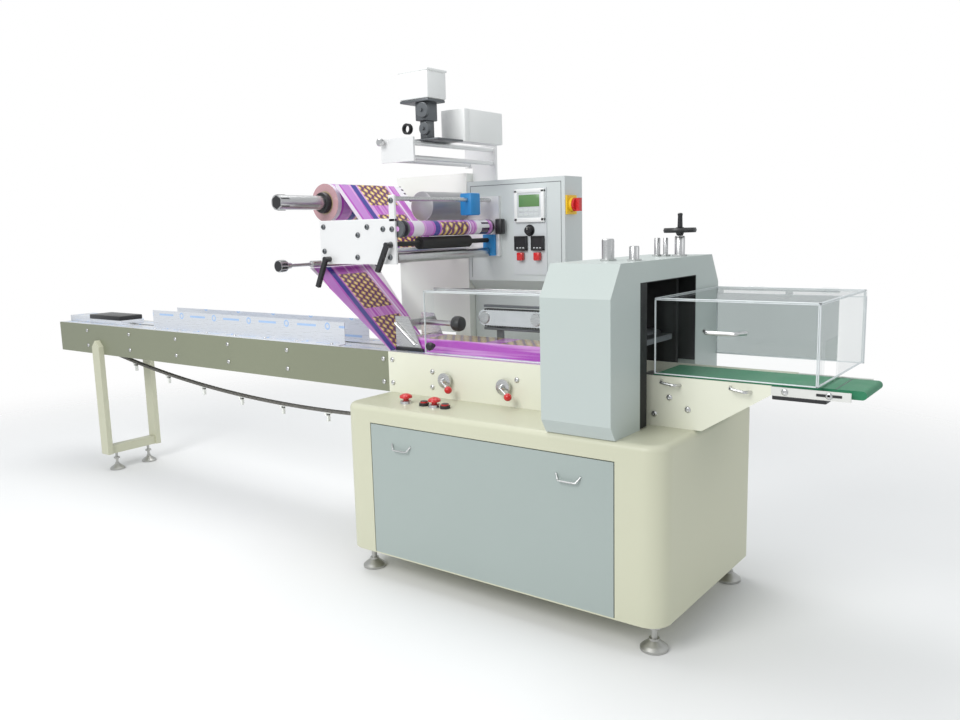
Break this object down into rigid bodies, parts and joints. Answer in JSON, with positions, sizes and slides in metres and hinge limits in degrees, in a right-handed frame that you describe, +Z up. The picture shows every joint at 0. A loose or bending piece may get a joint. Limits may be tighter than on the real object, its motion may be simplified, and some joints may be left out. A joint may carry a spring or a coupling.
{
  "type": "horizontal flow wrapper",
  "caption": "Horizontal flow wrapper: a long infeed trough with a pusher chain, a film unit over the forming box, fin seal bed, rotary end sealer under a grey guard, and a short discharge belt",
  "frame": {"origin": "on the floor under the middle of the machine's box", "axes": "+X along the machine to its discharge end, +Y to the side that carries the control box, +Z up"},
  "size_m": [3.77, 0.76, 1.644],
  "materials": {
    "cream_paint": "satin cream powder coat",
    "panel_paint": "satin grey-blue powder coat",
    "guard_paint": "satin light grey powder coat",
    "box_paint": "satin light grey powder coat",
    "brushed_steel": "brushed stainless sheet under a clear printed protective film",
    "bright_steel": "ground and plated steel",
    "zinc_steel": "zinc plated steel",
    "dark_steel": "machined dark steel",
    "chain_steel": "oiled roller chain",
    "black_plastic": "moulded",
    "red_plastic": "moulded, glossy",
    "white_plastic": "machined plastic",
    "black_rubber": "ground rubber",
    "green_belt": "smooth conveyor belt",
    "printed_film": "printed packing film",
    "clear_sheet": "clear acrylic sheet",
    "fascia_film": "printed front film",
    "screen_glass": "dark display behind glass",
    "coder_case": "satin light grey powder coat"
  },
  "bodies": {
    "machine": {"bed_deck": "brushed_steel", "bed_front_plate": "brushed_steel", "bed_rear_plate": "brushed_steel", "cabinet": "cream_paint", "cabinet_panels": "panel_paint", "chain_sprockets": "dark_steel", "clamp_levers": "black_plastic", "coder_frame": "bright_steel", "coder_head": "coder_case", "control_box": "box_paint", "control_fascia": "fascia_film", "desk_buttons": "red_plastic", "discharge_belt": "green_belt", "discharge_rails": "white_plastic", "exit_cover_back": "clear_sheet", "fascia_instruments": "black_plastic", "film_far_plate": "bright_steel", "film_former": "dark_steel", "film_frame_bars": "bright_steel", "film_lower_web": "printed_film", "film_near_plate": "bright_steel", "film_tube": "printed_film", "film_upper_web": "printed_film", "fin_cover_rail": "bright_steel", "former_adjuster": "black_plastic", "guard_front_column": "guard_paint", "guard_hood": "guard_paint", "guard_rear_column": "guard_paint", "hold_down_belt": "black_rubber", "hold_down_frame": "bright_steel", "infeed_blocks": "white_plastic", "infeed_chain": "chain_steel", "infeed_deck": "brushed_steel", "infeed_end_plate": "brushed_steel", "infeed_front_plate": "brushed_steel", "infeed_guides": "brushed_steel", "infeed_rear_plate": "brushed_steel", "jaw_plates": "dark_steel", "leg_frame": "brushed_steel", "levelling_feet": "zinc_steel", "main_switch_plate": "black_plastic", "operator_screen": "screen_glass", "panel_grips": "bright_steel", "rear_column": "cream_paint", "spring_posts": "bright_steel"},
    "reel": {"film_reel": "printed_film", "reel_shaft": "bright_steel"},
    "turning_roller_body": {"turning_roller": "printed_film"},
    "grip_roller_body": {"grip_roller": "black_rubber"},
    "lower_roller_body": {"lower_roller": "bright_steel"},
    "dancer_roller_body": {"dancer_roller": "bright_steel"},
    "guide_roller_body": {"guide_roller": "bright_steel"},
    "upper_sealer": {"upper_jaw": "dark_steel"},
    "lower_sealer": {"lower_jaw": "dark_steel"},
    "left_wheel": {"left_hand_wheel": "red_plastic"},
    "right_wheel": {"right_hand_wheel": "red_plastic"},
    "top_wheel": {"top_handwheel": "black_plastic"},
    "switch": {"main_switch_knob": "red_plastic"},
    "exit_door": {"exit_cover": "clear_sheet"},
    "fin_door": {"fin_cover": "clear_sheet"}
  },
  "joints": [
    {"name": "reel_turn", "type": "hinge", "parent": "machine", "child": "reel", "pos_m": [0.133, 0, 1.223], "axis": [0, 1, 0], "continuous": true},
    {"name": "turning_roller_turn", "type": "hinge", "parent": "machine", "child": "turning_roller_body", "pos_m": [0.542, 0, 1.127], "axis": [0, 1, 0], "continuous": true},
    {"name": "grip_roller_turn", "type": "hinge", "parent": "machine", "child": "grip_roller_body", "pos_m": [0.523, 0, 1.08], "axis": [0, 1, 0], "continuous": true},
    {"name": "lower_roller_turn", "type": "hinge", "parent": "machine", "child": "lower_roller_body", "pos_m": [0.519, 0, 1.037], "axis": [0, 1, 0], "continuous": true},
    {"name": "dancer_roller_turn", "type": "hinge", "parent": "machine", "child": "dancer_roller_body", "pos_m": [0.424, 0, 1.046], "axis": [0, 1, 0], "continuous": true},
    {"name": "guide_roller_turn", "type": "hinge", "parent": "machine", "child": "guide_roller_body", "pos_m": [0.052, 0, 1.012], "axis": [0, 1, 0], "continuous": true},
    {"name": "upper_jaw_turn", "type": "hinge", "parent": "machine", "child": "upper_sealer", "pos_m": [1.238, 0, 0.793], "axis": [0, 1, 0], "continuous": true},
    {"name": "lower_jaw_turn", "type": "hinge", "parent": "machine", "child": "lower_sealer", "pos_m": [1.238, 0, 0.663], "axis": [0, 1, 0], "continuous": true},
    {"name": "left_hand_wheel_turn", "type": "hinge", "parent": "machine", "child": "left_wheel", "pos_m": [0.613, -0.116, 0.635], "axis": [0, 1, 0], "continuous": true},
    {"name": "right_hand_wheel_turn", "type": "hinge", "parent": "machine", "child": "right_wheel", "pos_m": [0.847, -0.116, 0.635], "axis": [0, 1, 0], "continuous": true},
    {"name": "top_handwheel_turn", "type": "hinge", "parent": "machine", "child": "top_wheel", "pos_m": [1.3, 0.15, 1.1], "axis": [0, 0, 1], "continuous": true},
    {"name": "main_switch_turn", "type": "hinge", "parent": "machine", "child": "switch", "pos_m": [0.852, 0.301, 1.194], "axis": [1, 0, 0], "range_deg": [0, 90]},
    {"name": "exit_cover_lift", "type": "hinge", "parent": "machine", "child": "exit_door", "pos_m": [1.563, 0.347, 0.918], "axis": [-1, 0, 0], "range_deg": [0, 75]},
    {"name": "fin_cover_lift", "type": "hinge", "parent": "machine", "child": "fin_door", "pos_m": [0.8215, -0.04, 0.925], "axis": [-1, 0, 0], "range_deg": [0, 80]}
  ],
  "couplings": [
    {"joint": "lower_jaw_turn", "follows": "upper_jaw_turn", "ratio": -1}
  ]
}
